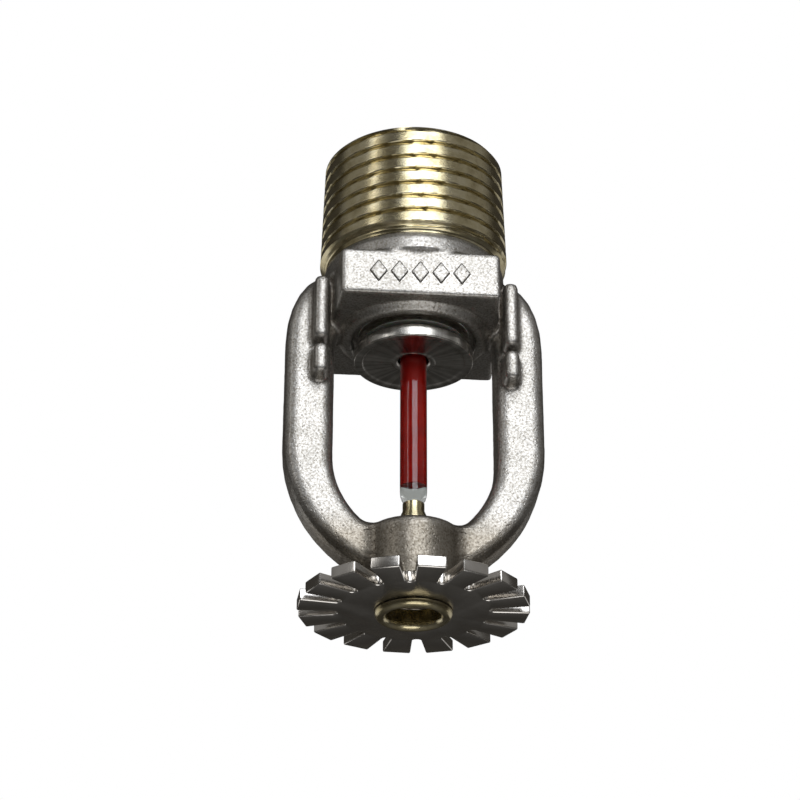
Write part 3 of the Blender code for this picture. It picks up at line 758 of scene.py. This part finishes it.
def make_load_screw(brass, thread_tree):
    """The load screw: cupped nose, threaded shank and a hexagon socket in its foot."""
    low, high = SCREW_LOW.z, SCREW_HIGH.z
    radius = (SCREW_HIGH.x - SCREW_LOW.x) / 2
    shank_top = SCREW_SHANK_TOP
    outer = [
        (0.0, high - 0.8 * MM), (0.6 * MM, high - 0.8 * MM), (1.05 * MM, high), (1.2 * MM, high),
        (1.2 * MM, high - 0.9 * MM), (1.5 * MM, high - 1.6 * MM), (1.8 * MM, shank_top + 0.3 * MM),
        (radius - 0.5 * MM, shank_top), (radius, shank_top - 0.5 * MM)]
    outer += [(radius, z) for z in evenly(shank_top - 0.5 * MM, low + 0.4 * MM, 0.08 * MM)]
    outer += [(radius, low + 0.4 * MM), (radius - 0.4 * MM, low), (0.0, low)]
    screw = turned("threaded_load_screw", outer, brass, segments=72)
    run_tree(screw, thread_tree, {
        "Pitch": SCREW_PITCH, "Depth": 0.4 * MM, "Crest": 0.2, "Top": shank_top - 0.5 * MM,
        "Bottom": low + 0.35 * MM, "Outside": 2.2 * MM, "Run Out": 0.4 * MM})
    bm = bmesh.new()
    bmesh.ops.create_cone(bm, cap_ends=True, segments=6, depth=4.4 * MM,
                          radius1=SCREW_HEX / math.sqrt(3), radius2=SCREW_HEX / math.sqrt(3))
    bmesh.ops.translate(bm, vec=(0, 0, low), verts=bm.verts)
    socket = link_mesh("hex_socket", bm)
    cut = screw.modifiers.new("socket", "BOOLEAN")
    cut.operation = "DIFFERENCE"
    cut.object = socket
    baked(screw)
    dropped(socket)
    screw.data.materials.clear()
    screw.data.materials.append(brass)
    return shade(screw, 35)


def soft_box(name, place, size, power, tint):
    """A rectangular lamp that faces the middle of the head."""
    data = bpy.data.lights.new(name, "AREA")
    data.shape = "RECTANGLE"
    data.size, data.size_y = size
    data.energy = power
    data.color = linear(tint)[:3]
    lamp = bpy.data.objects.new(name, data)
    lamp.location = place
    lamp.rotation_euler = (Vector(STUDIO_MIDDLE) - Vector(place)).to_track_quat("-Z", "Y").to_euler()
    bpy.context.scene.collection.objects.link(lamp)


def make_studio():
    """A pale floor far below, a white surround for the camera and soft lights."""
    bm = bmesh.new()
    bmesh.ops.create_circle(bm, cap_ends=True, segments=96, radius=2.5)
    floor = link_mesh("studio_floor", bm)
    floor.data.transform(Matrix.Translation((0, 0, FLOOR_LEVEL)))
    paint, tree, shader, place = new_material("matt_studio_paint", {"Roughness": 0.9})
    colour, _ = clouded(tree, place, ((0.3, "#B9B8B6"), (0.7, "#C2C1BF")), 0.004)
    tree.links.new(colour, shader.inputs["Base Color"])
    path = add_node(tree, "ShaderNodeLightPath")
    glow = add_node(tree, "ShaderNodeMath", {"operation": "MULTIPLY", 1: 0.75},
                    {0: path.outputs["Is Camera Ray"]})
    shader.inputs["Emission Color"].default_value = linear("#F1F0EE")
    tree.links.new(glow.outputs[0], shader.inputs["Emission Strength"])
    floor.data.materials.append(paint)

    world = bpy.data.worlds.new("studio")
    bpy.context.scene.world = world
    world.use_nodes = True
    tree = world.node_tree
    tree.nodes.clear()
    path = add_node(tree, "ShaderNodeLightPath")
    seen = add_node(tree, "ShaderNodeBackground", {"Color": (1, 1, 1, 1), "Strength": 1.0})
    dim = add_node(tree, "ShaderNodeBackground", {"Color": linear("#8F8A82"), "Strength": 0.16})
    mix = add_node(tree, "ShaderNodeMixShader")
    plain = add_node(tree, "ShaderNodeMath", {"operation": "MULTIPLY_ADD", 1: 0.35, "use_clamp": True}, {
        0: path.outputs["Is Transmission Ray"], 2: path.outputs["Is Camera Ray"]})
    tree.links.new(plain.outputs[0], mix.inputs[0])
    tree.links.new(dim.outputs[0], mix.inputs[1])
    tree.links.new(seen.outputs[0], mix.inputs[2])
    out = add_node(tree, "ShaderNodeOutputWorld")
    tree.links.new(mix.outputs[0], out.inputs[0])
    bpy.context.scene.view_settings.view_transform = "Standard"

    for light in STUDIO_LIGHTS:
        soft_box(*light)


def make_camera():
    """Looks up at the head from in front and slightly to its left."""
    level = math.cos(CAMERA_RISE)
    back = Vector((math.sin(CAMERA_TURN) * level, -math.cos(CAMERA_TURN) * level,
                   math.sin(CAMERA_RISE)))
    data = bpy.data.cameras.new("camera")
    data.sensor_width = 36
    data.lens = CAMERA_LENS
    data.shift_x = CAMERA_SHIFT
    data.clip_start = 0.01
    camera = bpy.data.objects.new("camera", data)
    camera.location = CAMERA_TARGET + CAMERA_DISTANCE * back
    camera.rotation_euler = (-back).to_track_quat("-Z", "Y").to_euler()
    bpy.context.scene.collection.objects.link(camera)
    bpy.context.scene.camera = camera


def main():
    nickel, brass, cap_metal = cast_nickel(), turned_brass(), turned_nickel()
    plate, glass, liquid = stamped_plate(), bulb_glass_material(), bulb_liquid_material()
    thread_tree = helical_thread_tree(brass)

    body = make_cast_body(nickel)
    marks = make_foundry_marks(nickel)
    thread = make_pipe_thread(brass, thread_tree)
    ring = make_swaged_ring(brass)
    for piece, slot_name in ((body, "plated_casting"), (marks, "plated_casting"),
                             (thread, "bare_brass"), (ring, "bare_brass")):
        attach(piece, "frame")
        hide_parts("frame")

    deflector = make_deflector(plate)
    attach(deflector, "frame")
    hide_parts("deflector")

    tube, filling = make_bulb(glass, liquid)
    cap = make_cap(cap_metal)
    for piece, node, slot_name in (
            (tube, "bulb_glass", "bulb_glass"), (filling, "bulb_liquid", "bulb_liquid"),
            (cap, "bulb_cap", "turned_cap")):
        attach(piece, "bulb_stack")
        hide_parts(node)

    screw = make_load_screw(brass, thread_tree)
    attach(screw, "load_screw")
    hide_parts("load_screw")

    for node, material in (("disc_spring", spring_strip()), ("seal_film_upper", seal_film()),
                           ("seal_film_lower", seal_film())):
        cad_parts[node].data.materials.clear()
        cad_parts[node].data.materials.append(material)

    make_studio()
    make_camera()


main()
